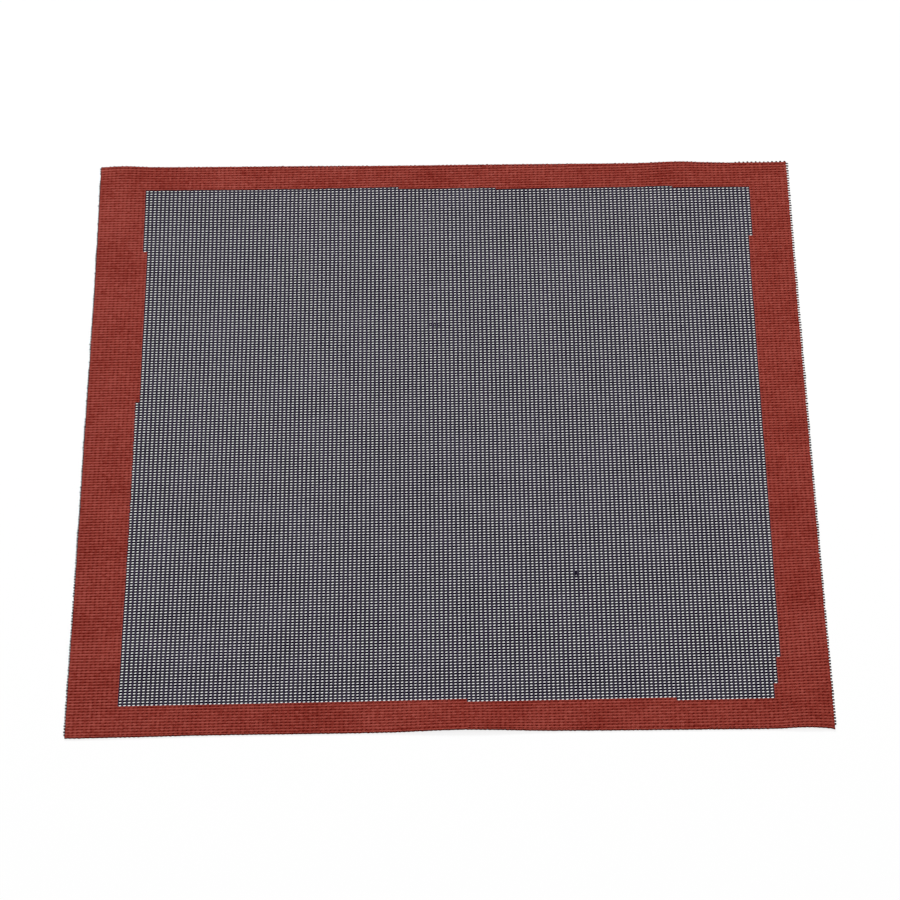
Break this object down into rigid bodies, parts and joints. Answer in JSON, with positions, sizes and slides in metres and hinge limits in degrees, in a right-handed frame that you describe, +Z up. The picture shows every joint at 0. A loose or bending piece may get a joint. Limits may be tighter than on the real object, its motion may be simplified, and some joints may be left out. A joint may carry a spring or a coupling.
{
  "type": "baking mat",
  "caption": "Flat perforated baking mat: black silicone-coated woven glass mesh with a red silicone border on both faces.",
  "frame": {"origin": "centre of the underside, the face that lies on the tray", "axes": "+X across the mat, +Y along its longer side, +Z up out of the baking face"},
  "size_m": [0.3, 0.4, 0.0008],
  "materials": {
    "glass_yarn": "woven glass fibre",
    "black_silicone": "satin",
    "red_silicone": "satin, ribbed by the mesh under it"
  },
  "bodies": {
    "root": {"glass_warp_yarns": "glass_yarn", "glass_weft_yarns": "glass_yarn", "mesh_coating": "black_silicone", "border_lower": "red_silicone", "border_upper": "red_silicone"}
  },
  "joints": []
}
